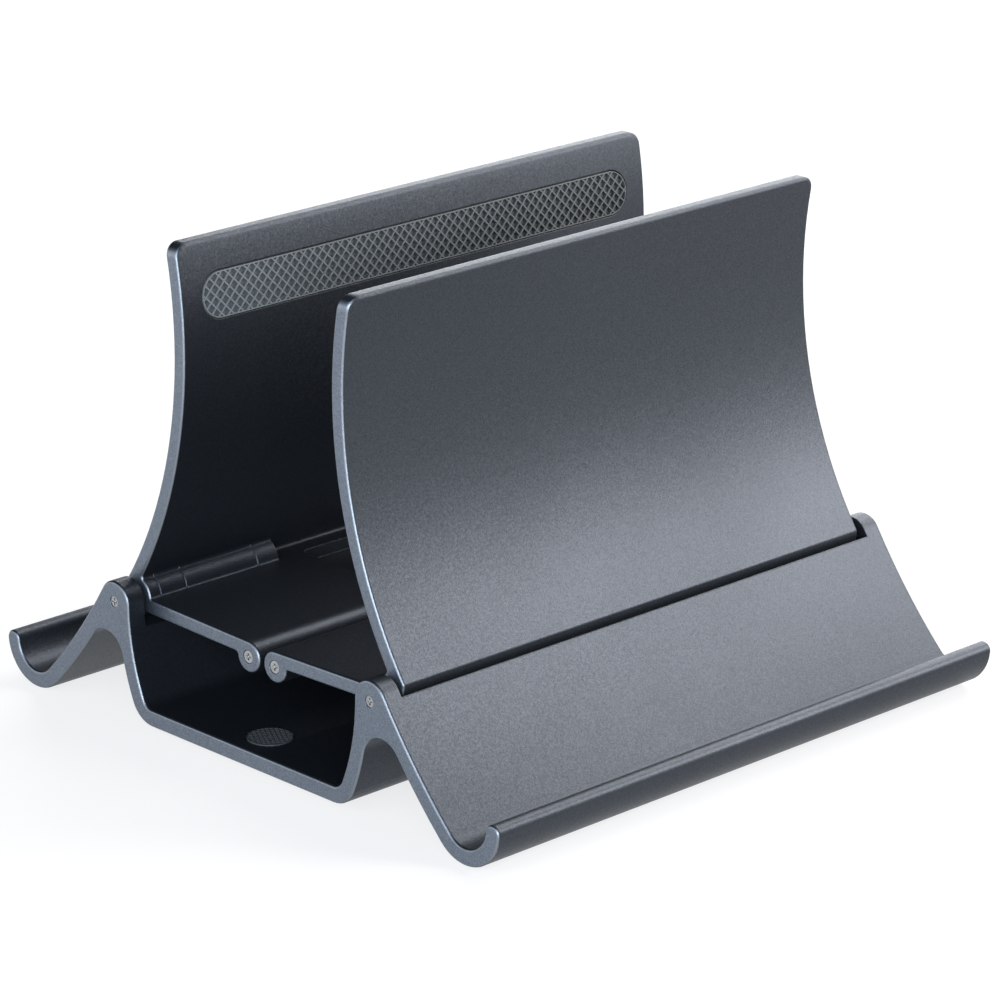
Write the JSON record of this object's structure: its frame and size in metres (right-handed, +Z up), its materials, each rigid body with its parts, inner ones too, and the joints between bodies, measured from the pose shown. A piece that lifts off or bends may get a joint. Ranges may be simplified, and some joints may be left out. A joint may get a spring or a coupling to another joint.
{
  "type": "vertical laptop stand",
  "caption": "Gravity-gripping vertical laptop stand: two hinged L-shaped jaws with shelves and grip pads on a W-section base with side ledges.",
  "frame": {"origin": "centre of the footprint at table level", "axes": "+X across the stand to the right, +Y from the front end to the rear end, +Z up"},
  "size_m": [0.1568, 0.15, 0.1089],
  "materials": {
    "base_paint": "moulded ABS with satin grey metallic paint",
    "jaw_paint": "moulded ABS with satin grey metallic paint",
    "grip_silicone": "grey silicone with a raised cross-hatch",
    "foot_rubber": "dark moulded rubber",
    "screw_steel": "bright plated steel",
    "spring_steel": "drawn spring wire"
  },
  "bodies": {
    "base": {"base_shell": "base_paint", "front_rest_pad": "grip_silicone", "rear_rest_pad": "grip_silicone", "left_front_pivot_pin": "screw_steel", "left_rear_pivot_pin": "screw_steel", "right_front_pivot_pin": "screw_steel", "right_rear_pivot_pin": "screw_steel", "left_front_return_spring": "spring_steel", "left_rear_return_spring": "spring_steel", "right_front_return_spring": "spring_steel", "right_rear_return_spring": "spring_steel", "left_front_foot": "foot_rubber", "left_rear_foot": "foot_rubber", "right_front_foot": "foot_rubber", "right_rear_foot": "foot_rubber"},
    "left_jaw_arm": {"left_jaw": "jaw_paint", "left_grip_pad": "grip_silicone", "left_front_bead_screw": "screw_steel", "left_rear_bead_screw": "screw_steel"},
    "right_jaw_arm": {"right_jaw": "jaw_paint", "right_grip_pad": "grip_silicone", "right_front_bead_screw": "screw_steel", "right_rear_bead_screw": "screw_steel"}
  },
  "joints": [
    {"name": "left_jaw_pivot", "type": "hinge", "parent": "base", "child": "left_jaw_arm", "pos_m": [-0.04065, 0, 0.0276], "axis": [0, 1, 0], "range_deg": [0, 18], "stiffness_Nm_per_rad": 0.06, "springref_deg": -20.05, "deforming": ["left_front_return_spring", "left_rear_return_spring"]},
    {"name": "right_jaw_pivot", "type": "hinge", "parent": "base", "child": "right_jaw_arm", "pos_m": [0.04065, 0, 0.0276], "axis": [0, -1, 0], "range_deg": [0, 18], "stiffness_Nm_per_rad": 0.06, "springref_deg": -20.05, "deforming": ["right_front_return_spring", "right_rear_return_spring"]}
  ]
}
